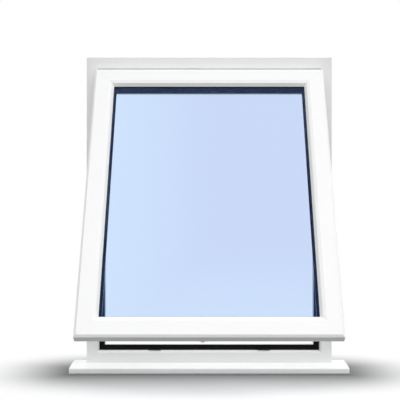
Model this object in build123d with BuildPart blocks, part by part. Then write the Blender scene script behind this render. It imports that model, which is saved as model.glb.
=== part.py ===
# Top-hung PVC-U window: a welded outer frame on a projecting cill, and a double-glazed sash
# that stands open on a pair of four-bar stays.
#
# Millimetres, +Z up, +X to the right seen from outside, +Y into the room.
# The origin is on the underside of the cill, midway along it, in the plane of the frame's outer face.
#
# A profile is drawn as (inward, depth): inward runs from the profile's outer edge towards the middle
# of the window, and depth runs from its outer face towards the room.

from build123d import *

import os
from math import atan2, degrees, hypot

# Outer frame
frame_width = 895.0
frame_height = 1115.0
frame_depth = 70.0
frame_face = 38.0
frame_bevel_depth = 6.0
rebate_floor = 43.0
upstand_height = 63.0
frame_edge_radius = 1.5
frame_groove_setback = 10.0
frame_groove_width = 8.0
frame_groove_depth = 4.0

# Fixing holes through the jambs
fixing_radius = 3.5
fixing_depth = 26.5
fixing_spacing = 800.0

# Cill
cill_height = 30.0
cill_projection = 80.0
cill_nose_height = 23.5
cill_horn = 50.0
cill_end_cap = 2.5
cill_nose_top_radius = 5.0
cill_nose_bottom_radius = 9.0
drip_groove_width = 6.0
drip_groove_depth = 5.0
drip_groove_setback = 12.0
bedding_groove_width = 12.0
bedding_groove_depth = 3.0
bedding_groove_setback = 18.0

# Sash
frame_showing = 35.0
stay_cavity = 11.0
sash_depth = 70.0
sash_proud = 40.0
flange_gap = 3.0
sash_chamfer_width = 7.5
sash_chamfer_depth = 6.0
sash_flat_width = 45.5
sash_bevel_width = 10.5
sash_bevel_depth = 3.2
sash_reveal_width = 8.0
glazing_leg_depth = 15.0
glazing_leg_lip = 1.5
glazing_rebate_floor = 54.0
sash_edge_radius = 1.5
sash_back_radius = 2.0
hardware_groove_width = 12.0
hardware_groove_depth = 8.0

# Glazing
gasket_thickness = 2.5
gasket_inset = 6.0
gasket_lip = 1.0
pane_thickness = 4.0
cavity_width = 20.0
glass_edge_clearance = 4.0
spacer_height = 8.0
spacer_setback = 5.0
bead_height = 24.0
bead_lip = 3.0
bead_top = 8.0
bead_step = 2.0
bead_swell = 2.5

# Seals
frame_seal_thickness = 4.0
frame_seal_radius = 1.5
sash_seal_width = 5.0
sash_seal_setback = 1.5
sash_seal_radius = 1.2

# Open position of the sash: its tilt, how far its top edge has come down, and how far its
# face then stands out from the frame's outer face
opening_angle = 31.0
sash_drop = 10.4
sash_standoff = 34.0

# Stays
stay_line_depth = 14.0
track_width = 16.0
track_wall = 1.5
track_height = 4.0
track_end_margin = 16.0
arm_width = 14.0
arm_thickness = 2.5
arm_height = 5.0
long_arm_pin = 150.0
short_arm_pin = 85.0
sash_bar_thickness = 3.0
sash_bar_start = 24.0
sash_bar_end = 275.0
sash_bar_width = 16.0
stay_pin_radius = 3.0
stay_pin_head_radius = 5.5
stay_pin_head_height = 0.5
end_cap_length = 26.0
end_cap_ramp = 4.0

# Handle
handle_offset = -20.0
handle_base_length = 118.0
handle_base_width = 21.0
handle_base_thickness = 11.0
handle_base_shift = 24.0
handle_rail_height = 42.0
handle_hub_radius = 8.7
handle_collar_radius = 10.2
handle_collar_height = 4.0
handle_neck_radius = 7.6
handle_neck_height = 46.0
handle_lever_length = 73.0
handle_lever_thickness = 11.0
handle_lever_tip_radius = 7.0
handle_lever_edge_radius = 3.5
handle_lever_back_bevel = 2.0
handle_base_bevel = 2.0
handle_lock_radius = 5.5
handle_lock_height = 2.0
handle_lock_shift = 40.0

# Locking gear
lock_plate_length = 520.0
lock_plate_width = 16.0
lock_plate_thickness = 2.5
lock_rod_length = 480.0
lock_rod_width = 10.0
lock_rod_thickness = 2.5
lock_cam_spacing = 400.0
lock_cam_travel = 20.0
lock_cam_neck_radius = 3.0
lock_cam_neck_height = 4.0
lock_cam_head_radius = 4.8
lock_cam_head_height = 3.0
lock_cam_bevel = 0.8
lock_slot_clearance = 0.5
keep_length = 46.0
keep_width = 20.0
keep_base_height = 1.0
keep_height = 2.5
keep_corner_radius = 3.0
keep_claw_width = 4.0

# Worked out from the sizes above
frame_base = cill_height
frame_top = cill_height + frame_height
frame_middle = frame_base + frame_height / 2
upstand_front = sash_depth - sash_proud + frame_seal_thickness
sash_width = frame_width - 2 * frame_showing
sash_height = frame_height - 2 * frame_showing
flange_thickness = sash_proud - flange_gap
stem_offset = rebate_floor + stay_cavity - frame_showing
bevel_start = sash_chamfer_width + sash_flat_width
bevel_end = bevel_start + sash_bevel_width
sightline = bevel_end + sash_reveal_width
outer_pane_front = glazing_leg_depth + gasket_thickness
inner_pane_front = outer_pane_front + pane_thickness + cavity_width
bead_front = inner_pane_front + pane_thickness + gasket_thickness
glass_edge = glazing_rebate_floor + glass_edge_clearance
groove_centre = sash_proud + stay_line_depth
closed_sash_top = frame_top - frame_showing


def swing_open():
    """The move that takes the sash from its closed place, upright in the frame, to its open one."""
    to_top_edge = Location((0, sash_proud, -closed_sash_top))
    at_open_edge = Location((0, -sash_standoff, closed_sash_top - sash_drop), (-opening_angle, 0, 0))
    return at_open_edge * to_top_edge


sash_open = swing_open()


def opened(place):
    """A plane drawn in the closed sash, moved to where the open sash holds it."""
    return Plane(sash_open * place.location)


def side_places(width, height, outer_face):
    """One drawing plane for each side of a rectangle of bars: X inward, Y to the room, Z along the bar."""
    middle = frame_middle
    return {
        "top": (Plane((0, outer_face, middle + height / 2), x_dir=(0, 0, -1), z_dir=(1, 0, 0)), width),
        "bottom": (Plane((0, outer_face, middle - height / 2), x_dir=(0, 0, 1), z_dir=(-1, 0, 0)), width),
        "left": (Plane((-width / 2, outer_face, middle), x_dir=(1, 0, 0), z_dir=(0, 0, 1)), height),
        "right": (Plane((width / 2, outer_face, middle), x_dir=(-1, 0, 0), z_dir=(0, 0, -1)), height),
    }


def mitred_bar(section, place, length):
    """A bar of the given section whose two ends are cut at 45 degrees, shorter on its inward side."""
    with BuildPart() as bar:
        with BuildSketch(place):
            section()
        extrude(amount=length / 2, both=True)
        for end, turn in ((length / 2, 45), (-length / 2, 135)):
            mitre = Plane(place.location * Location((0, 0, end), (0, turn, 0)))
            split(bisect_by=mitre, keep=Keep.BOTTOM)
    return bar


def frame_section():
    """Face, bevel, rebate floor and taller upstand, with a groove for add-on trims round the outside."""
    groove_end = frame_depth - frame_groove_setback
    groove_start = groove_end - frame_groove_width
    with BuildLine() as outline:
        Polyline(
            (0, 0),
            (frame_face, 0),
            (rebate_floor, frame_bevel_depth),
            (rebate_floor, upstand_front),
            (upstand_height, upstand_front),
            (upstand_height, frame_depth),
            (0, frame_depth),
            (0, groove_end),
            (frame_groove_depth, groove_end),
            (frame_groove_depth, groove_start),
            (0, groove_start),
            close=True,
        )
    make_face(outline.edges())
    fillet(vertices().group_by(Axis.X)[-1].sort_by(Axis.Y)[-1], radius=frame_edge_radius)


def sash_section():
    """Overlapping flange, chamfered face, bevel and reveal towards the glass, and the glazing rebate."""
    with BuildLine() as outline:
        Polyline(
            (0, sash_chamfer_depth),
            (sash_chamfer_width, 0),
            (bevel_start, 0),
            (bevel_end, sash_bevel_depth),
            (sightline, glazing_leg_depth - glazing_leg_lip),
            (sightline, glazing_leg_depth),
            (glazing_rebate_floor, glazing_leg_depth),
            (glazing_rebate_floor, sash_depth),
            (stem_offset, sash_depth),
            (stem_offset, groove_centre + hardware_groove_width / 2),
            (stem_offset + hardware_groove_depth, groove_centre + hardware_groove_width / 2),
            (stem_offset + hardware_groove_depth, groove_centre - hardware_groove_width / 2),
            (stem_offset, groove_centre - hardware_groove_width / 2),
            (stem_offset, flange_thickness),
            (0, flange_thickness),
            close=True,
        )
    make_face(outline.edges())
    fillet(vertices().group_by(Axis.X)[0], radius=sash_edge_radius)
    fillet(vertices().group_by(Axis.Y)[-1].sort_by(Axis.X)[0], radius=sash_back_radius)


def bead_section():
    """A bead that fills the glazing rebate behind the glass, with a lip, a swelling slope and a step."""
    top = glazing_rebate_floor + bead_height
    shoulder = glazing_rebate_floor + bead_top
    with BuildLine() as outline:
        Polyline((glazing_rebate_floor, bead_front), (top, bead_front), (top, bead_front + bead_lip))
        SagittaArc((top, bead_front + bead_lip), (shoulder, sash_depth - bead_step), -bead_swell)
        Polyline(
            (shoulder, sash_depth - bead_step),
            (shoulder, sash_depth),
            (glazing_rebate_floor, sash_depth),
            (glazing_rebate_floor, bead_front),
        )
    make_face(outline.edges())


def strip(inward_from, inward_to, depth_from, depth_to):
    """A plain rectangular section, for seals, gaskets and the spacer bar."""
    with BuildLine() as outline:
        Polyline(
            (inward_from, depth_from),
            (inward_to, depth_from),
            (inward_to, depth_to),
            (inward_from, depth_to),
            close=True,
        )
    make_face(outline.edges())


def frame_seal_section():
    """Soft seal over the outer side of the upstand, rounded at its free edge."""
    strip(rebate_floor, upstand_height, upstand_front - frame_seal_thickness, upstand_front)
    fillet(vertices().group_by(Axis.X)[-1].sort_by(Axis.Y)[0], radius=frame_seal_radius)


def sash_seal_section():
    """Soft seal behind the sash flange, rounded where it closes onto the frame's face."""
    strip(sash_seal_setback, sash_seal_setback + sash_seal_width, flange_thickness, sash_proud)
    fillet(vertices().group_by(Axis.Y)[-1], radius=sash_seal_radius)


def outer_gasket_section():
    """Gasket between the sash and the outer pane, with a lip that shows past the sash."""
    strip(glazing_rebate_floor + gasket_inset, sightline + gasket_lip, glazing_leg_depth, outer_pane_front)


def inner_gasket_section():
    """Gasket between the inner pane and the bead."""
    bead_edge = glazing_rebate_floor + bead_height
    strip(glazing_rebate_floor + gasket_inset, bead_edge, bead_front - gasket_thickness, bead_front)


def spacer_section():
    """Hollow bar's outline between the two panes."""
    spacer_start = glass_edge + spacer_setback
    strip(spacer_start, spacer_start + spacer_height, outer_pane_front + pane_thickness, inner_pane_front)


def ring(section, places):
    """Four mitred bars of one section, joined into a closed ring."""
    bars = [mitred_bar(section, place, length) for place, length in places.values()]
    with BuildPart() as loop:
        for bar in bars:
            add(bar.part)
    return loop


def pane(front):
    """A sheet of glass in the open sash, its outer face this far behind the sash's outer face."""
    sheet_face = Plane((0, front - sash_proud, frame_middle), x_dir=(1, 0, 0), z_dir=(0, 1, 0))
    with BuildPart() as sheet:
        with BuildSketch(opened(sheet_face)):
            Rectangle(sash_width - 2 * glass_edge, sash_height - 2 * glass_edge)
        extrude(amount=pane_thickness)
    return sheet


def cill_outline():
    """The cill from the side: a level seat for the frame, a sloping top and a rounded nose."""
    with BuildLine() as outline:
        Polyline(
            (frame_depth, 0),
            (frame_depth, cill_height),
            (0, cill_height),
            (-cill_projection, cill_nose_height),
            (-cill_projection, 0),
            close=True,
        )
    make_face(outline.edges())
    fillet(vertices().group_by(Axis.X)[0].sort_by(Axis.Y)[0], radius=cill_nose_bottom_radius)
    fillet(vertices().group_by(Axis.X)[0].sort_by(Axis.Y)[-1], radius=cill_nose_top_radius)


def stay_pivot(pin):
    """Height of the track pivot for an arm whose sash pin is this far below the sash's top edge.

    The pin has to reach from its closed place to its open one on one arm, so the pivot stands
    equally far from both: that fixes the arm's length.
    """
    closed_height = closed_sash_top - pin
    open_pin = pin_when_open(pin)
    drop = closed_height - open_pin.Z
    reach = stay_line_depth - open_pin.Y
    arm_length = (drop**2 + reach**2) / (2 * drop)
    return closed_height - arm_length


def pin_when_open(pin):
    """Where a pin on the sash bar stands with the sash open."""
    closed = Vector(0, stay_line_depth, closed_sash_top - pin)
    return (sash_open * Location(closed)).position


def flat_arm(start, end, width):
    """A flat bar with round ends, drawn in the plane of the jamb between two (depth, height) points."""
    across = end[0] - start[0]
    up = end[1] - start[1]
    middle = ((start[0] + end[0]) / 2, (start[1] + end[1]) / 2)
    with Locations(middle):
        SlotCenterToCenter(hypot(across, up), width, rotation=degrees(atan2(up, across)))


def write(piece, name):
    """Labels a finished piece and writes its file."""
    piece.part.label = name
    export_step(piece.part, f"parts/{name}.step")


os.makedirs("parts", exist_ok=True)

# Outer frame and its seal
frame_sides = side_places(frame_width, frame_height, 0)
frame_names = {
    "top": "frame_head",
    "bottom": "frame_bottom_rail",
    "left": "frame_left_jamb",
    "right": "frame_right_jamb",
}
for side, name in frame_names.items():
    place, length = frame_sides[side]
    member = mitred_bar(frame_section, place, length)
    if side in ("left", "right"):
        with BuildPart() as drilled:
            add(member.part)
            fixing_face = Plane(place.location * Location((0, fixing_depth, 0), (0, 90, 0)))
            with BuildSketch(fixing_face):
                with Locations((fixing_spacing / 2, 0), (0, 0), (-fixing_spacing / 2, 0)):
                    Circle(fixing_radius)
            extrude(amount=rebate_floor, mode=Mode.SUBTRACT)
        member = drilled
    write(member, name)

write(ring(frame_seal_section, frame_sides), "frame_seal")

# Cill, with a drip groove and a bedding groove underneath, and its end caps
cill_side = Plane((0, 0, 0), x_dir=(0, 1, 0), z_dir=(1, 0, 0))
cill_length = frame_width + 2 * cill_horn
with BuildPart() as cill:
    with BuildSketch(cill_side):
        cill_outline()
        drip_middle = -cill_projection + drip_groove_setback + drip_groove_width / 2
        with Locations((drip_middle, drip_groove_depth / 2)):
            Rectangle(drip_groove_width, drip_groove_depth, mode=Mode.SUBTRACT)
        bedding_middle = frame_depth - bedding_groove_setback - bedding_groove_width / 2
        with Locations((bedding_middle, bedding_groove_depth / 2)):
            Rectangle(bedding_groove_width, bedding_groove_depth, mode=Mode.SUBTRACT)
    extrude(amount=cill_length / 2, both=True)
write(cill, "cill")

for name, hand in (("cill_left_end_cap", -1), ("cill_right_end_cap", 1)):
    with BuildPart() as cap:
        with BuildSketch(cill_side.offset(hand * cill_length / 2)):
            cill_outline()
        extrude(amount=hand * cill_end_cap)
    write(cap, name)

# Sash, its beads, gaskets and glass, all standing open
sash_sides = {
    side: (opened(place), length)
    for side, (place, length) in side_places(sash_width, sash_height, -sash_proud).items()
}
sash_names = {
    "top": "sash_top_rail",
    "bottom": "sash_bottom_rail",
    "left": "sash_left_stile",
    "right": "sash_right_stile",
}
for side, (place, length) in sash_sides.items():
    write(mitred_bar(sash_section, place, length), sash_names[side])
    write(mitred_bar(bead_section, place, length), f"{side}_glazing_bead")

for section, name in (
    (sash_seal_section, "sash_seal"),
    (outer_gasket_section, "outer_glazing_gasket"),
    (inner_gasket_section, "inner_glazing_gasket"),
    (spacer_section, "glass_spacer_bar"),
):
    write(ring(section, sash_sides), name)

write(pane(outer_pane_front), "outer_glass_pane")
write(pane(inner_pane_front), "inner_glass_pane")

# Stays
for hand, side in ((-1, "left"), (1, "right")):
    floor_x = hand * (frame_width / 2 - rebate_floor)
    # In this plane X is depth into the room and Y is height. It lies on the jamb's rebate floor,
    # and out is the way from there to the sash.
    jamb = Plane((floor_x, 0, 0), x_dir=(0, 1, 0), z_dir=(1, 0, 0))
    out = -hand
    pivots = {pin: (stay_line_depth, stay_pivot(pin)) for pin in (long_arm_pin, short_arm_pin)}
    pins = {pin: (pin_when_open(pin).Y, pin_when_open(pin).Z) for pin in (long_arm_pin, short_arm_pin)}
    track_low = pivots[long_arm_pin][1] - track_end_margin
    track_high = closed_sash_top - sash_bar_start
    channel_width = track_width - 2 * track_wall

    with BuildPart() as track:
        with BuildSketch(jamb):
            with Locations((stay_line_depth, (track_low + track_high) / 2)):
                Rectangle(track_width, track_high - track_low)
        extrude(amount=out * track_height)
        with BuildSketch(jamb.offset(out * track_wall)):
            with Locations((stay_line_depth, (track_low + track_high) / 2)):
                Rectangle(channel_width, track_high - track_low)
        extrude(amount=out * (track_height - track_wall), mode=Mode.SUBTRACT)
    write(track, f"{side}_stay_track")

    with BuildPart() as nose_cap:
        with BuildSketch(jamb.offset(out * track_wall)):
            with Locations((stay_line_depth, track_high - end_cap_length / 2)):
                Rectangle(channel_width, end_cap_length)
        extrude(amount=out * (stay_cavity - sash_bar_thickness - track_wall))
        sash_ward = Axis((0, 0, 0), (out, 0, 0))
        chamfer(nose_cap.faces().sort_by(sash_ward)[-1].edges().sort_by(Axis.Z)[0], length=end_cap_ramp)
    write(nose_cap, f"{side}_stay_end_cap")

    for pin, arm_name in ((long_arm_pin, "long_arm"), (short_arm_pin, "short_arm")):
        with BuildPart() as arm:
            with BuildSketch(jamb.offset(out * arm_height)):
                flat_arm(pivots[pin], pins[pin], arm_width)
                with Locations(pivots[pin], pins[pin]):
                    Circle(stay_pin_radius, mode=Mode.SUBTRACT)
            extrude(amount=out * arm_thickness)
        write(arm, f"{side}_stay_{arm_name}")

    with BuildPart() as bar:
        with BuildSketch(jamb.offset(out * (stay_cavity - sash_bar_thickness))):
            start = pin_when_open(sash_bar_start)
            end = pin_when_open(sash_bar_end)
            flat_arm((start.Y, start.Z), (end.Y, end.Z), sash_bar_width)
            with Locations(*pins.values()):
                Circle(stay_pin_radius, mode=Mode.SUBTRACT)
        extrude(amount=out * sash_bar_thickness)
    write(bar, f"{side}_stay_sash_bar")

    with BuildPart() as rivets:
        with BuildSketch(jamb.offset(out * track_wall)):
            with Locations(*pivots.values()):
                Circle(stay_pin_head_radius)
        extrude(amount=out * (arm_height - track_wall))
        with BuildSketch(jamb.offset(out * arm_height)):
            with Locations(*pivots.values()):
                Circle(stay_pin_radius)
        extrude(amount=out * arm_thickness)
        with BuildSketch(jamb.offset(out * (arm_height - stay_pin_head_height))):
            with Locations(*pins.values()):
                Circle(stay_pin_head_radius)
        extrude(amount=out * stay_pin_head_height)
        with BuildSketch(jamb.offset(out * arm_height)):
            with Locations(*pins.values()):
                Circle(stay_pin_radius)
        extrude(amount=out * (stay_cavity - arm_height))
    write(rivets, f"{side}_stay_rivets")

# Handle, on the room side of the sash's bottom rail, with its lever turned up to the open position.
# X runs to the left seen from outside, Y up the sash and Z away from the rail.
rail_back = opened(
    Plane(
        (handle_offset, sash_depth - sash_proud, frame_base + frame_showing + handle_rail_height),
        x_dir=(-1, 0, 0),
        z_dir=(0, 1, 0),
    )
)
away_from_rail = Axis(rail_back.origin, rail_back.z_dir)
with BuildPart() as handle_base:
    with BuildSketch(rail_back):
        with Locations((-handle_base_shift, 0)):
            SlotOverall(handle_base_length, handle_base_width)
    extrude(amount=handle_base_thickness)
    chamfer(handle_base.faces().sort_by(away_from_rail)[-1].edges(), length=handle_base_bevel)
    with BuildSketch(rail_back.offset(handle_base_thickness)):
        with Locations((-handle_base_shift - handle_lock_shift, 0)):
            Circle(handle_lock_radius)
    extrude(amount=handle_lock_height)
write(handle_base, "handle_base")

lever_back = handle_base_thickness + handle_neck_height - handle_lever_thickness
with BuildPart() as handle_lever:
    with BuildSketch(rail_back.offset(lever_back)):
        Circle(handle_hub_radius)
        with Locations((0, handle_lever_length)):
            Circle(handle_lever_tip_radius)
        make_hull()
    extrude(amount=handle_lever_thickness)
    fillet(handle_lever.faces().sort_by(away_from_rail)[-1].edges(), radius=handle_lever_edge_radius)
    chamfer(handle_lever.faces().sort_by(away_from_rail)[0].edges(), length=handle_lever_back_bevel)
    with BuildSketch(rail_back.offset(handle_base_thickness)):
        Circle(handle_collar_radius)
    extrude(amount=handle_collar_height)
    with BuildSketch(rail_back.offset(handle_base_thickness + handle_collar_height)):
        Circle(handle_neck_radius)
    extrude(amount=lever_back - handle_base_thickness - handle_collar_height)
write(handle_lever, "handle_lever")

# Locking gear: a slotted plate along the underside of the sash's bottom rail, a sliding rod in the
# groove behind it whose mushroom cams stand out through the slots, and a keep for each on the frame.
# The rod is drawn back to the unlocked end of its travel, so that each cam faces its keep's open end.
rail_under = opened(
    Plane(
        (0, stay_line_depth, frame_base + frame_showing + stem_offset),
        x_dir=(1, 0, 0),
        z_dir=(0, 0, -1),
    )
)
with BuildPart() as lock_plate:
    with BuildSketch(rail_under):
        SlotOverall(lock_plate_length, lock_plate_width)
        with GridLocations(lock_cam_spacing, 0, 2, 1):
            slot_radius = lock_cam_neck_radius + lock_slot_clearance
            SlotOverall(lock_cam_travel + 2 * slot_radius, 2 * slot_radius, mode=Mode.SUBTRACT)
    extrude(amount=lock_plate_thickness)
write(lock_plate, "lock_plate")

cam_neck_length = lock_plate_thickness + lock_cam_neck_height
with BuildPart() as lock_cams:
    with BuildSketch(rail_under):
        with Locations((lock_cam_travel / 2, 0)):
            Rectangle(lock_rod_length, lock_rod_width)
    extrude(amount=-lock_rod_thickness)
    with BuildSketch(rail_under):
        with Locations((lock_cam_travel / 2, 0)):
            with GridLocations(lock_cam_spacing, 0, 2, 1):
                Circle(lock_cam_neck_radius)
    extrude(amount=cam_neck_length)
    with BuildSketch(rail_under.offset(cam_neck_length)):
        with Locations((lock_cam_travel / 2, 0)):
            with GridLocations(lock_cam_spacing, 0, 2, 1):
                Circle(lock_cam_head_radius)
    extrude(amount=lock_cam_head_height)
    cam_tips = lock_cams.faces().group_by(Axis(rail_under.origin, rail_under.z_dir))[-1]
    chamfer(cam_tips.edges(), length=lock_cam_bevel)
write(lock_cams, "lock_cams")

keep_floor = Plane((0, stay_line_depth, frame_base + rebate_floor))
for name, hand in (("left_lock_keep", -1), ("right_lock_keep", 1)):
    with BuildPart() as keep:
        with BuildSketch(keep_floor):
            with Locations((hand * lock_cam_spacing / 2, 0)):
                RectangleRounded(keep_length, keep_width, keep_corner_radius)
        extrude(amount=keep_base_height)
        claw_length = keep_length / 2
        with BuildSketch(keep_floor.offset(keep_base_height)):
            claw_middle = hand * lock_cam_spacing / 2 - claw_length / 2 + keep_corner_radius
            with Locations((claw_middle, (keep_claw_width - keep_width) / 2)):
                Rectangle(claw_length, keep_claw_width)
        extrude(amount=keep_height - keep_base_height)
    write(keep, name)
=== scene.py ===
from math import cos, pi, radians, sin

import bmesh
import bpy
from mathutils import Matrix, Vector


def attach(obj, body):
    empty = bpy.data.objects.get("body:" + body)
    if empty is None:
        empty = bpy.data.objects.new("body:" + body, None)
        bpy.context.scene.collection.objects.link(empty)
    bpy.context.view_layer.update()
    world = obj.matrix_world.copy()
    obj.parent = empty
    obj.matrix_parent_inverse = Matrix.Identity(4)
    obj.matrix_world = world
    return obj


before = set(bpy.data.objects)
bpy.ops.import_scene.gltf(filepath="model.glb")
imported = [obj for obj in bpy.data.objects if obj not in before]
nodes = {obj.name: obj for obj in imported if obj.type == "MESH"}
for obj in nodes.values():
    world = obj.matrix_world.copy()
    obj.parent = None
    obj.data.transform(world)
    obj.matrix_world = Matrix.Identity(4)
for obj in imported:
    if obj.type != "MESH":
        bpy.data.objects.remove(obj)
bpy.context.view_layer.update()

scene = bpy.context.scene
scene.view_settings.view_transform = "Standard"
print("window loaded,", len(nodes), "pieces")

# sizes and places that several pieces share, in metres
place = {
    "frameWidth": 0.895,
    "frameHeight": 1.115,
    "frameMiddle": 0.5875,
    "sashWidth": 0.825,
    "sashHeight": 1.045,
    "tilt": radians(31.0),
    "sashTop": 1.0996,          # height of the sash's top edge where it stands open
    "standoff": 0.034,          # how far that edge stands out from the frame's face
}


def sashPoint(across, down, inward):        # across the sash, down from its top edge, in from its outer face
    c, s = cos(place["tilt"]), sin(place["tilt"])
    outward = place["standoff"] + down * s - inward * c
    return Vector((across, -outward, place["sashTop"] - down * c - inward * s))


# node helpers
def newMaterial(name):
    mat = bpy.data.materials.new(name)
    mat.use_nodes = True
    mat.node_tree.nodes.clear()
    return mat, mat.node_tree


def addNode(tree, kind, inputs=None, **settings):
    node = tree.nodes.new(kind)
    for key, value in settings.items():
        setattr(node, key, value)
    for key, value in (inputs or {}).items():
        if hasattr(value, "is_linked"):
            tree.links.new(value, node.inputs[key])
        else:
            node.inputs[key].default_value = value
    return node


def newGroup(name, ins, outs):
    tree = bpy.data.node_groups.new(name, "ShaderNodeTree")
    for label, kind, value in ins:
        socket = tree.interface.new_socket(label, in_out="INPUT", socket_type=kind)
        if value is not None:
            socket.default_value = value
    for label, kind in outs:
        tree.interface.new_socket(label, in_out="OUTPUT", socket_type=kind)
    return tree, tree.nodes.new("NodeGroupInput"), tree.nodes.new("NodeGroupOutput")


def mathNode(tree, operation, a, b=None, clamp=False):
    node = addNode(tree, "ShaderNodeMath", operation=operation, use_clamp=clamp)
    for i, value in enumerate((a, b)):
        if value is None:
            continue
        if hasattr(value, "is_linked"):
            tree.links.new(value, node.inputs[i])
        else:
            node.inputs[i].default_value = value
    return node.outputs[0]


def vectorMath(tree, operation, a, b=None):
    inputs = {0: a} if b is None else {0: a, 1: b}
    return addNode(tree, "ShaderNodeVectorMath", inputs, operation=operation).outputs[0]


def mixColour(tree, factor, a, b, blend="MIX"):
    node = addNode(tree, "ShaderNodeMix", data_type="RGBA", blend_type=blend)
    for i, value in ((0, factor), (6, a), (7, b)):
        if hasattr(value, "is_linked"):
            tree.links.new(value, node.inputs[i])
        else:
            node.inputs[i].default_value = value
    return node.outputs[2]


def noiseOver(tree, vector, scale, detail):
    noise = addNode(tree, "ShaderNodeTexNoise", {"Vector": vector, "Scale": scale, "Detail": detail})
    return noise.outputs["Fac"]


# shared effects
def extrudedSkin():     # faint drawn lines along a bar, soft mottling and a trace of dust
    tree, gin, gout = newGroup("extrudedSkin", [
        ("Vector", "NodeSocketVector", None),
        ("Stretch", "NodeSocketVector", (1.0, 1.0, 1.0)),
        ("Colour", "NodeSocketColor", (0.8, 0.8, 0.8, 1)),
        ("Dust Colour", "NodeSocketColor", (0.6, 0.58, 0.54, 1)),
        ("Dust", "NodeSocketFloat", 0.05),
        ("Roughness", "NodeSocketFloat", 0.25),
    ], [("Colour", "NodeSocketColor"), ("Roughness", "NodeSocketFloat"), ("Height", "NodeSocketFloat")])
    stretched = addNode(tree, "ShaderNodeVectorMath", operation="MULTIPLY")
    tree.links.new(gin.outputs["Vector"], stretched.inputs[0])
    tree.links.new(gin.outputs["Stretch"], stretched.inputs[1])
    lines = noiseOver(tree, stretched.outputs[0], 420.0, 2.0)
    mottle = noiseOver(tree, gin.outputs["Vector"], 9.0, 3.0)
    grain = noiseOver(tree, gin.outputs["Vector"], 1500.0, 1.0)
    patches = addNode(tree, "ShaderNodeMapRange", {
        "Value": mottle, "From Min": 0.3, "From Max": 0.8}, interpolation_type="SMOOTHSTEP")
    speckle = mathNode(tree, "ADD", 0.2, mathNode(tree, "MULTIPLY", grain, 1.6))
    speckle = mathNode(tree, "MULTIPLY", speckle, gin.outputs["Dust"])
    dusty = mathNode(tree, "MULTIPLY", patches.outputs[0], speckle, clamp=True)
    colour = mixColour(tree, dusty, gin.outputs["Colour"], gin.outputs["Dust Colour"])
    tree.links.new(colour, gout.inputs["Colour"])
    rough = mathNode(tree, "ADD", gin.outputs["Roughness"], mathNode(tree, "MULTIPLY", mottle, 0.12))
    tree.links.new(rough, gout.inputs["Roughness"])
    drawn = mathNode(tree, "MULTIPLY", lines, 0.7)
    height = mathNode(tree, "ADD", drawn, mathNode(tree, "MULTIPLY", grain, 0.3))
    tree.links.new(height, gout.inputs["Height"])
    return tree


def weldSeam():         # the fine cleaned groove along the mitre of each welded corner
    tree, gin, gout = newGroup("weldSeam", [
        ("Vector", "NodeSocketVector", None),
        ("Half Width", "NodeSocketFloat", 0.4),
        ("Half Height", "NodeSocketFloat", 0.5),
        ("Reach", "NodeSocketFloat", 0.1),
        ("Line Width", "NodeSocketFloat", 0.001),
    ], [("Mask", "NodeSocketFloat")])
    parts = addNode(tree, "ShaderNodeSeparateXYZ", {0: gin.outputs["Vector"]})
    across, up = (mathNode(tree, "ABSOLUTE", parts.outputs[i]) for i in (0, 2))
    fromSide = mathNode(tree, "SUBTRACT", gin.outputs["Half Width"], across)
    fromEnd = mathNode(tree, "SUBTRACT", gin.outputs["Half Height"], up)
    offMitre = mathNode(tree, "ABSOLUTE", mathNode(tree, "SUBTRACT", fromSide, fromEnd))
    near = mathNode(tree, "LESS_THAN", fromSide, gin.outputs["Reach"])
    ratio = mathNode(tree, "DIVIDE", offMitre, gin.outputs["Line Width"])
    line = mathNode(tree, "SUBTRACT", 1.0, ratio, clamp=True)
    tree.links.new(mathNode(tree, "MULTIPLY", line, near), gout.inputs["Mask"])
    return tree


def fineGrain():        # close matt grain for rubber and moulded nylon
    tree, gin, gout = newGroup("fineGrain", [
        ("Vector", "NodeSocketVector", None),
        ("Scale", "NodeSocketFloat", 900.0),
        ("Dark", "NodeSocketColor", (0.01, 0.01, 0.01, 1)),
        ("Light", "NodeSocketColor", (0.03, 0.03, 0.03, 1)),
        ("Roughness", "NodeSocketFloat", 0.6),
    ], [("Colour", "NodeSocketColor"), ("Roughness", "NodeSocketFloat"), ("Height", "NodeSocketFloat")])
    grain = noiseOver(tree, gin.outputs["Vector"], gin.outputs["Scale"], 3.0)
    bloom = noiseOver(tree, gin.outputs["Vector"], 25.0, 2.0)
    both = mathNode(tree, "MULTIPLY", grain, bloom)
    tree.links.new(mixColour(tree, both, gin.outputs["Dark"], gin.outputs["Light"]), gout.inputs["Colour"])
    rough = mathNode(tree, "ADD", gin.outputs["Roughness"], mathNode(tree, "MULTIPLY", bloom, 0.15))
    tree.links.new(rough, gout.inputs["Roughness"])
    tree.links.new(grain, gout.inputs["Height"])
    return tree


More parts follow.
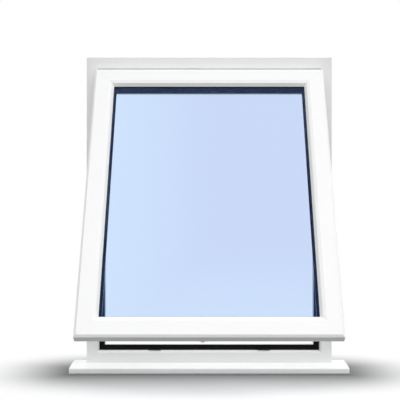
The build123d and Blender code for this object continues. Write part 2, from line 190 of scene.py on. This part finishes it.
def brushedLines():     # rolled and brushed lines on stainless and plated strip
    tree, gin, gout = newGroup("brushedLines", [
        ("Vector", "NodeSocketVector", None),
        ("Stretch", "NodeSocketVector", (1.0, 1.0, 0.03)),
        ("Dark", "NodeSocketColor", (0.4, 0.4, 0.4, 1)),
        ("Light", "NodeSocketColor", (0.7, 0.7, 0.7, 1)),
        ("Roughness", "NodeSocketFloat", 0.3),
    ], [("Colour", "NodeSocketColor"), ("Roughness", "NodeSocketFloat"), ("Height", "NodeSocketFloat")])
    stretched = addNode(tree, "ShaderNodeVectorMath", operation="MULTIPLY")
    tree.links.new(gin.outputs["Vector"], stretched.inputs[0])
    tree.links.new(gin.outputs["Stretch"], stretched.inputs[1])
    lines = noiseOver(tree, stretched.outputs[0], 1600.0, 4.0)
    smear = noiseOver(tree, gin.outputs["Vector"], 40.0, 2.0)
    tree.links.new(mixColour(tree, lines, gin.outputs["Dark"], gin.outputs["Light"]), gout.inputs["Colour"])
    rough = mathNode(tree, "ADD", gin.outputs["Roughness"], mathNode(tree, "MULTIPLY", smear, 0.2))
    tree.links.new(rough, gout.inputs["Roughness"])
    tree.links.new(lines, gout.inputs["Height"])
    return tree


skinGroup = extrudedSkin()
seamGroup = weldSeam()
grainGroup = fineGrain()
brushGroup = brushedLines()
print("shared effects ready")


# materials
def finish(tree, shader):
    out = addNode(tree, "ShaderNodeOutputMaterial")
    tree.links.new(shader, out.inputs["Surface"])


def bump(tree, height, strength, distance):
    node = addNode(tree, "ShaderNodeBump", {"Strength": strength, "Distance": distance, "Height": height})
    return node.outputs["Normal"]


upvc = {
    # the frame and cill are the same white uPVC as the sash; their greyer colours here are painted shade
    "frame": {"colour": (0.8, 0.81, 0.795, 1), "roughness": 0.28, "dust": 0.06},
    "sash": {"colour": (0.87, 0.872, 0.866, 1), "roughness": 0.27, "dust": 0.03},
    "cill": {"colour": (0.82, 0.82, 0.818, 1), "roughness": 0.28, "dust": 0.05},
    "alongX": (0.02, 1.0, 1.0),
    "alongZ": (1.0, 1.0, 0.02),
    "seamWidth": 0.0011,
    "seamShade": 0.90,
    "seamDepth": 6.0,           # against the height of the drawn lines
}


def upvcMaterial(name, settings, stretch, seam=None):
    mat, tree = newMaterial(name)
    where = addNode(tree, "ShaderNodeTexCoord").outputs["Object"]
    if seam:        # the mitres are found in the plane of the frame or of the open sash
        flat = addNode(tree, "ShaderNodeMapping", vector_type="TEXTURE", inputs={
            "Vector": where, "Location": seam["origin"], "Rotation": (seam["tilt"], 0, 0)})
        where = flat.outputs[0]
    skin = addNode(tree, "ShaderNodeGroup", node_tree=skinGroup)
    tree.links.new(where, skin.inputs["Vector"])
    skin.inputs["Stretch"].default_value = stretch
    skin.inputs["Colour"].default_value = settings["colour"]
    skin.inputs["Dust"].default_value = settings["dust"]
    skin.inputs["Roughness"].default_value = settings["roughness"]
    colour, height = skin.outputs["Colour"], skin.outputs["Height"]
    if seam:
        line = addNode(tree, "ShaderNodeGroup", node_tree=seamGroup)
        tree.links.new(where, line.inputs["Vector"])
        line.inputs["Half Width"].default_value = seam["halfWidth"]
        line.inputs["Half Height"].default_value = seam["halfHeight"]
        line.inputs["Line Width"].default_value = upvc["seamWidth"]
        seamColour = tuple(c * upvc["seamShade"] for c in settings["colour"][:3]) + (1,)
        colour = mixColour(tree, line.outputs["Mask"], colour, seamColour)
        groove = mathNode(tree, "MULTIPLY", line.outputs["Mask"], upvc["seamDepth"])
        height = mathNode(tree, "SUBTRACT", height, groove)
    plastic = addNode(tree, "ShaderNodeBsdfPrincipled", {
        "Base Color": colour, "Roughness": skin.outputs["Roughness"], "IOR": 1.46,
        "Normal": bump(tree, height, 0.25, 0.00008)})
    finish(tree, plastic.outputs[0])
    return mat


frameSeam = {
    "origin": (0, 0, place["frameMiddle"]),
    "tilt": 0.0,
    "halfWidth": place["frameWidth"] / 2,
    "halfHeight": place["frameHeight"] / 2,
}
sashSeam = {
    "origin": tuple(sashPoint(0, place["sashHeight"] / 2, 0)),
    "tilt": -place["tilt"],
    "halfWidth": place["sashWidth"] / 2,
    "halfHeight": place["sashHeight"] / 2,
}
frameAcross = upvcMaterial("frameUpvcAcross", upvc["frame"], upvc["alongX"], frameSeam)
frameUp = upvcMaterial("frameUpvcUp", upvc["frame"], upvc["alongZ"], frameSeam)
sashAcross = upvcMaterial("sashUpvcAcross", upvc["sash"], upvc["alongX"], sashSeam)
sashUp = upvcMaterial("sashUpvcUp", upvc["sash"], upvc["alongZ"], sashSeam)
cillUpvc = upvcMaterial("cillUpvc", upvc["cill"], upvc["alongX"])


# rubber, moulded nylon and powder coat: their two tones, roughness, size of grain, its depth, and gloss
grained = {
    "sealRubber": ((0.002, 0.002, 0.002, 1), (0.007, 0.007, 0.008, 1), 0.62, 1400.0, 0.00005, 0.12),
    "spacerPlastic": ((0.01, 0.028, 0.078, 1), (0.03, 0.062, 0.15, 1), 0.5, 700.0, 0.00001, 0.5),
    "capPlastic": ((0.84, 0.84, 0.835, 1), (0.89, 0.89, 0.885, 1), 0.3, 1100.0, 0.00003, 0.5),
    "handleCoat": ((0.82, 0.82, 0.81, 1), (0.88, 0.88, 0.87, 1), 0.28, 2600.0, 0.00003, 0.5),
    "stayNylon": ((0.03, 0.03, 0.032, 1), (0.08, 0.08, 0.084, 1), 0.45, 900.0, 0.00004, 0.5),
}


def grainMaterial(name):
    dark, light, roughness, scale, depth, gloss = grained[name]
    mat, tree = newMaterial(name)
    where = addNode(tree, "ShaderNodeTexCoord").outputs["Object"]
    grain = addNode(tree, "ShaderNodeGroup", node_tree=grainGroup)
    tree.links.new(where, grain.inputs["Vector"])
    grain.inputs["Dark"].default_value = dark
    grain.inputs["Light"].default_value = light
    grain.inputs["Roughness"].default_value = roughness
    grain.inputs["Scale"].default_value = scale
    body = addNode(tree, "ShaderNodeBsdfPrincipled", {
        "Base Color": grain.outputs["Colour"], "Roughness": grain.outputs["Roughness"],
        "Specular IOR Level": gloss, "Normal": bump(tree, grain.outputs["Height"], 0.3, depth)})
    finish(tree, body.outputs[0])
    return mat


sealRubber, spacerPlastic, capPlastic, handleCoat, stayNylon = (grainMaterial(name) for name in grained)

# stainless and plated steel: two tones, roughness, and the way its brushed lines run
metals = {
    "staySteel": ((0.42, 0.42, 0.41, 1), (0.66, 0.66, 0.65, 1), 0.26, (1.0, 1.0, 0.03)),
    "lockSteel": ((0.46, 0.47, 0.49, 1), (0.68, 0.69, 0.71, 1), 0.3, (0.03, 1.0, 1.0)),
    "rivetSteel": ((0.36, 0.36, 0.36, 1), (0.58, 0.58, 0.57, 1), 0.28, (1.0, 1.0, 1.0)),
}


def steelMaterial(name):
    dark, light, roughness, stretch = metals[name]
    mat, tree = newMaterial(name)
    where = addNode(tree, "ShaderNodeTexCoord").outputs["Object"]
    brush = addNode(tree, "ShaderNodeGroup", node_tree=brushGroup)
    tree.links.new(where, brush.inputs["Vector"])
    brush.inputs["Stretch"].default_value = stretch
    brush.inputs["Dark"].default_value = dark
    brush.inputs["Light"].default_value = light
    brush.inputs["Roughness"].default_value = roughness
    metal = addNode(tree, "ShaderNodeBsdfPrincipled", {
        "Base Color": brush.outputs["Colour"], "Metallic": 1.0, "Roughness": brush.outputs["Roughness"],
        "Normal": bump(tree, brush.outputs["Height"], 0.2, 0.00003)})
    finish(tree, metal.outputs[0])
    return mat


staySteel, lockSteel, rivetSteel = (steelMaterial(name) for name in metals)

glazing = {
    "tint": (0.766, 0.836, 0.968, 1),       # what one pane lets through
    "paintedReflectionTint": (0.788, 0.876, 0.993, 1),   # painted reflection: paler glass towards the left stile and the bottom rail
    "shadowTint": (0.93, 0.94, 0.95, 1),
    "sheen": (0.12, 0.27, 0.7, 1),          # colour that the coating gives to reflections
    "ior": 1.42,
    "smudge": 0.004,            # roughness of the faint film on the panes
}


def glassMaterial(name):
    mat, tree = newMaterial(name)
    where = addNode(tree, "ShaderNodeTexCoord").outputs["Object"]
    film = noiseOver(tree, where, 3.0, 2.0)
    smudge = addNode(tree, "ShaderNodeMapRange", {
        "Value": film, "From Min": 0.45, "From Max": 0.8, "To Max": glazing["smudge"]})
    parts = addNode(tree, "ShaderNodeSeparateXYZ", {0: where})
    # painted reflection: the glass colour turns paler towards the left stile and the bottom rail
    leftward = addNode(tree, "ShaderNodeMapRange", {
        "Value": parts.outputs[0], "From Min": 0.05, "From Max": -0.36}, interpolation_type="SMOOTHSTEP")
    downward = addNode(tree, "ShaderNodeMapRange", {
        "Value": parts.outputs[2], "From Min": 0.5, "From Max": 0.2}, interpolation_type="SMOOTHSTEP")
    lower = mathNode(tree, "MULTIPLY", downward.outputs[0], 0.8)
    pale = mathNode(tree, "MAXIMUM", leftward.outputs[0], lower)
    tint = mixColour(tree, pale, glazing["tint"], glazing["paintedReflectionTint"])
    glass = addNode(tree, "ShaderNodeBsdfPrincipled", {
        "Base Color": tint, "Roughness": smudge.outputs[0], "IOR": glazing["ior"],
        "Transmission Weight": 1.0, "Specular Tint": glazing["sheen"]})
    through = addNode(tree, "ShaderNodeBsdfTransparent", {"Color": glazing["shadowTint"]})
    rays = addNode(tree, "ShaderNodeLightPath")
    straight = mathNode(tree, "MAXIMUM", rays.outputs["Is Shadow Ray"], rays.outputs["Is Diffuse Ray"])
    mixed = addNode(tree, "ShaderNodeMixShader", {0: straight, 1: glass.outputs[0], 2: through.outputs[0]})
    finish(tree, mixed.outputs[0])
    return mat


outerGlass = glassMaterial("outerGlass")
innerGlass = glassMaterial("innerGlass")
print("materials ready")

finishes = {
    "frame_head": frameAcross, "frame_bottom_rail": frameAcross,
    "frame_left_jamb": frameUp, "frame_right_jamb": frameUp,
    "sash_top_rail": sashAcross, "sash_bottom_rail": sashAcross,
    "sash_left_stile": sashUp, "sash_right_stile": sashUp,
    "top_glazing_bead": sashAcross, "bottom_glazing_bead": sashAcross,
    "left_glazing_bead": sashUp, "right_glazing_bead": sashUp,
    "cill": cillUpvc, "cill_left_end_cap": capPlastic, "cill_right_end_cap": capPlastic,
    "frame_seal": sealRubber, "sash_seal": sealRubber,
    "outer_glazing_gasket": sealRubber, "inner_glazing_gasket": sealRubber,
    "glass_spacer_bar": spacerPlastic, "outer_glass_pane": outerGlass, "inner_glass_pane": innerGlass,
    "handle_base": handleCoat, "handle_lever": handleCoat,
    "lock_plate": lockSteel, "lock_cams": rivetSteel,
    "left_lock_keep": lockSteel, "right_lock_keep": lockSteel,
}
for name, obj in nodes.items():
    if "stay_end_cap" in name:
        mat = stayNylon
    elif "stay_rivets" in name:
        mat = rivetSteel
    elif "stay" in name:
        mat = staySteel
    else:
        mat = finishes[name]
    obj.data.materials.clear()
    obj.data.materials.append(mat)
print("finishes given to the window's own pieces")


# screws and the key barrel, built as low domes with their recesses sunk in
heads = {
    "rings": 14,
    "segments": 56,
    "fall": 0.7,                # how far the dome drops at its rim, as a share of its height
    "skirt": 0.0002,            # how far the rim reaches into what carries it
}


def recessedHead(mesh, spot, facing, style, cuts):
    turn = facing.to_track_quat("Z", "Y").to_matrix().to_4x4()
    turn.translation = spot
    angles = [2 * pi * j / heads["segments"] for j in range(heads["segments"])]
    rows = []
    for i in range(heads["rings"] + 1):
        share = i / heads["rings"]
        row = []
        for angle in angles if i else angles[:1]:
            x, y = share * cos(angle), share * sin(angle)
            sunk = any(abs(x) < halfWide and abs(y) < halfLong for halfWide, halfLong in cuts)
            z = style["height"] * (1 - heads["fall"] * share ** 4) - (style["depth"] if sunk else 0.0)
            row.append(mesh.verts.new(turn @ Vector((x * style["radius"], y * style["radius"], z))))
        rows.append(row)
    rim = [Vector((style["radius"] * cos(a), style["radius"] * sin(a), -heads["skirt"])) for a in angles]
    rows.append([mesh.verts.new(turn @ point) for point in rim])
    for j in range(heads["segments"]):
        k = (j + 1) % heads["segments"]
        mesh.faces.new((rows[0][0], rows[1][j], rows[1][k]))
        for inner, outer in zip(rows[1:], rows[2:]):
            mesh.faces.new((inner[j], outer[j], outer[k], inner[k]))


def addPiece(name, mesh, mat):
    data = bpy.data.meshes.new(name)
    for face in mesh.faces:
        face.smooth = True
    mesh.to_mesh(data)
    mesh.free()
    piece = bpy.data.objects.new(name, data)
    scene.collection.objects.link(piece)
    data.materials.append(mat)
    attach(piece, "root")


screws = {
    "cross": ((0.11, 0.6), (0.6, 0.11)),        # half width and length of each arm, in radii
    "track": {"radius": 0.0036, "height": 0.0016, "depth": 0.0012, "heights": (0.825, 0.9, 1.035)},
    "bar": {"radius": 0.0033, "height": 0.00045, "depth": 0.0004, "down": (0.04, 0.117, 0.19, 0.255)},
    "plate": {"radius": 0.0033, "height": 0.0006, "depth": 0.0005, "across": (-0.25, -0.13, 0.0, 0.13, 0.25)},
    "keep": {"radius": 0.003, "height": 0.0005, "depth": 0.0004, "across": (-0.216, -0.184, 0.184, 0.216)},
    "jambFloor": 0.4045,        # from the middle to the rebate that the stays are fixed in
    "trackWall": 0.0015,
    "barFace": 0.008,           # from that rebate to the sash bar
    "stayLine": 0.014,          # how far in from the frame's outer face
    "sashLine": 0.054,          # the same line, from the sash's outer face
    "plateFace": 1.0285,        # down from the sash's top edge
    "keepFace": (0.0165, 0.074),        # how far in, and how high
}
for side, hand in (("left", -1), ("right", 1)):
    mesh = bmesh.new()
    inward, outward = Vector((-hand, 0, 0)), Vector((hand, 0, 0))
    for height in screws["track"]["heights"]:
        spot = Vector((hand * (screws["jambFloor"] - screws["trackWall"]), screws["stayLine"], height))
        recessedHead(mesh, spot, inward, screws["track"], screws["cross"])
    for down in screws["bar"]["down"]:
        spot = sashPoint(hand * (screws["jambFloor"] - screws["barFace"]), down, screws["sashLine"])
        recessedHead(mesh, spot, outward, screws["bar"], screws["cross"])
    addPiece(side + "_stay_screws", mesh, rivetSteel)

mesh = bmesh.new()
downSash = sashPoint(0, 1, 0) - sashPoint(0, 0, 0)
for across in screws["plate"]["across"]:
    spot = sashPoint(across, screws["plateFace"], screws["sashLine"])
    recessedHead(mesh, spot, downSash, screws["plate"], screws["cross"])
addPiece("lock_plate_screws", mesh, rivetSteel)

mesh = bmesh.new()
for across in screws["keep"]["across"]:
    spot = Vector((across,) + screws["keepFace"])
    recessedHead(mesh, spot, Vector((0, 0, 1)), screws["keep"], screws["cross"])
addPiece("lock_keep_screws", mesh, rivetSteel)

keyBarrel = {
    "radius": 0.0042,
    "height": 0.0007,
    "depth": 0.0006,
    "slot": ((0.13, 0.68),),    # half width and length, in radii
    "place": (0.044, 1.003, 0.083),     # across the sash, down it, and in from its outer face
}
mesh = bmesh.new()
intoRoom = sashPoint(0, 0, 1) - sashPoint(0, 0, 0)
recessedHead(mesh, sashPoint(*keyBarrel["place"]), intoRoom, keyBarrel, keyBarrel["slot"])
addPiece("handle_key_barrel", mesh, lockSteel)
print("screws and key barrel in place")

# floor, light and camera
studio = {
    "floorSize": 30.0,
    "floorColour": (0.9, 0.9, 0.9, 1),
    "floorCloud": (0.91, 0.91, 0.915, 1),
    "footprint": (1.5, 2.2, 0.0),   # one over the half width and half depth of the shaded ground, per metre
    "shadedTo": 0.75,
    "whiteFrom": 1.5,
    "ambient": (0.98, 0.99, 1.0, 1),
    "ambientLow": 0.16,         # soft light from the horizon
    "ambientHigh": 0.8,         # and from overhead
    "bounce": (0.17, 0.17, 0.17, 1),        # how pale the floor is to the light it throws back
    "cillHalf": (0.5, 0.075, 0.0),      # half the cill's length and depth
    "shadeReach": 0.42,         # how far from the cill its soft shade spreads
    "shadeDeep": (0.17, 0.17, 0.17, 1),
    "target": (0.0, -0.2, 0.6),
    # power, size, distance, turn to the right of the camera, rise, casts a shadow, shines in gloss
    "lamps": {
        "topFill": (338.0, 6.0, 9.0, radians(0), radians(50), False, False),
        "frontFill": (80.0, 3.0, 6.0, radians(0), radians(6), True, False),
        "rearFill": (190.0, 4.0, 6.0, radians(180), radians(40), False, False),
        "sideKey": (128.0, 2.9, 7.0, radians(75), radians(35), True, True),
    },
}


def backdropSeen(tree):     # true for the eye, and for what metal and glass show straight behind them
    rays = addNode(tree, "ShaderNodeLightPath")
    seen = mathNode(tree, "MAXIMUM", rays.outputs["Is Camera Ray"], rays.outputs["Is Transmission Ray"])
    seen = mathNode(tree, "MAXIMUM", seen, rays.outputs["Is Glossy Ray"])
    return mathNode(tree, "MULTIPLY", seen, mathNode(tree, "LESS_THAN", rays.outputs["Diffuse Depth"], 0.5))


floorMesh = bpy.data.meshes.new("floor")
half = studio["floorSize"] / 2
corners = [(-half, -half, 0), (half, -half, 0), (half, half, 0), (-half, half, 0)]
floorMesh.from_pydata(corners, [], [(0, 1, 2, 3)])
floor = bpy.data.objects.new("floor", floorMesh)
scene.collection.objects.link(floor)
mat, tree = newMaterial("paleFloor")
where = addNode(tree, "ShaderNodeTexCoord").outputs["Object"]
tone = mixColour(tree, noiseOver(tree, where, 2.0, 2.0), studio["floorColour"], studio["floorCloud"])
away = vectorMath(tree, "MULTIPLY", where, studio["footprint"])
away = addNode(tree, "ShaderNodeVectorMath", {0: away}, operation="LENGTH").outputs["Value"]
fade = addNode(tree, "ShaderNodeMapRange", interpolation_type="SMOOTHSTEP", inputs={
    "Value": away, "From Min": studio["shadedTo"], "From Max": studio["whiteFrom"]})
rays = addNode(tree, "ShaderNodeLightPath")
near = vectorMath(tree, "ABSOLUTE", where)
near = vectorMath(tree, "SUBTRACT", near, studio["cillHalf"])
near = vectorMath(tree, "MAXIMUM", near, (0, 0, 0))
near = addNode(tree, "ShaderNodeVectorMath", {0: near}, operation="LENGTH").outputs["Value"]
clear = addNode(tree, "ShaderNodeMapRange", {"Value": near, "From Max": studio["shadeReach"]})
tone = mixColour(tree, clear.outputs[0], studio["shadeDeep"], tone)
tone = mixColour(tree, rays.outputs["Is Diffuse Ray"], tone, studio["bounce"])
matt = addNode(tree, "ShaderNodeBsdfDiffuse", {"Color": tone})
white = addNode(tree, "ShaderNodeEmission", {"Color": (1, 1, 1, 1), "Strength": 1.0})
blank = mathNode(tree, "MULTIPLY", fade.outputs[0], backdropSeen(tree))
topside = addNode(tree, "ShaderNodeMixShader", {0: blank, 1: matt.outputs[0], 2: white.outputs[0]})
openBelow = addNode(tree, "ShaderNodeBsdfTransparent")
underside = addNode(tree, "ShaderNodeNewGeometry").outputs["Backfacing"]
below = mathNode(tree, "MULTIPLY", underside, rays.outputs["Is Camera Ray"])
oneSided = addNode(tree, "ShaderNodeMixShader", {0: below, 1: topside.outputs[0], 2: openBelow.outputs[0]})
finish(tree, oneSided.outputs[0])       # from below the floor is clear, so the window's underside shows
floorMesh.materials.append(mat)

world = bpy.data.worlds.new("studioWorld")
scene.world = world
world.use_nodes = True
tree = world.node_tree
tree.nodes.clear()
upward = addNode(tree, "ShaderNodeSeparateXYZ", {0: addNode(tree, "ShaderNodeTexCoord").outputs["Generated"]})
level = addNode(tree, "ShaderNodeMapRange", {
    "Value": upward.outputs[2], "To Min": studio["ambientLow"], "To Max": studio["ambientHigh"]})
soft = addNode(tree, "ShaderNodeBackground", {"Color": studio["ambient"], "Strength": level.outputs[0]})
white = addNode(tree, "ShaderNodeBackground", {"Color": (1, 1, 1, 1), "Strength": 1.0})
mixed = addNode(tree, "ShaderNodeMixShader", {0: backdropSeen(tree), 1: soft.outputs[0], 2: white.outputs[0]})
out = addNode(tree, "ShaderNodeOutputWorld")
tree.links.new(mixed.outputs[0], out.inputs["Surface"])

for name, (power, size, distance, turn, rise, castsShadow, shines) in studio["lamps"].items():
    towards = Vector((sin(turn) * cos(rise), -cos(turn) * cos(rise), sin(rise)))
    lampData = bpy.data.lights.new(name, "AREA")
    lampData.shape = "SQUARE"
    lampData.size = size
    lampData.energy = power
    lamp = bpy.data.objects.new(name, lampData)
    lamp.location = Vector(studio["target"]) + towards * distance
    lamp.rotation_mode = "QUATERNION"
    lamp.rotation_quaternion = (-towards).to_track_quat("-Z", "Y")
    lampData.use_shadow = castsShadow       # the broad fills leave no second shadow
    lamp.visible_glossy = shines
    lamp.visible_camera = lamp.visible_transmission = False     # the glass shows the backdrop, not the lamps
    scene.collection.objects.link(lamp)

viewpoint = {
    "distance": 3.3235,         # in front of the frame's outer face
    "height": 0.5792,
    "lens": 81.88,
    "shiftAcross": -0.023,
    "shiftUp": 0.0315,
}
camData = bpy.data.cameras.new("camera")
camData.lens = viewpoint["lens"]
camData.sensor_width = 36.0
camData.shift_x = viewpoint["shiftAcross"]
camData.shift_y = viewpoint["shiftUp"]
camera = bpy.data.objects.new("camera", camData)
camera.location = (0, -viewpoint["distance"], viewpoint["height"])
camera.rotation_euler = (pi / 2, 0, 0)
scene.collection.objects.link(camera)
scene.camera = camera
print("floor, light and camera ready")
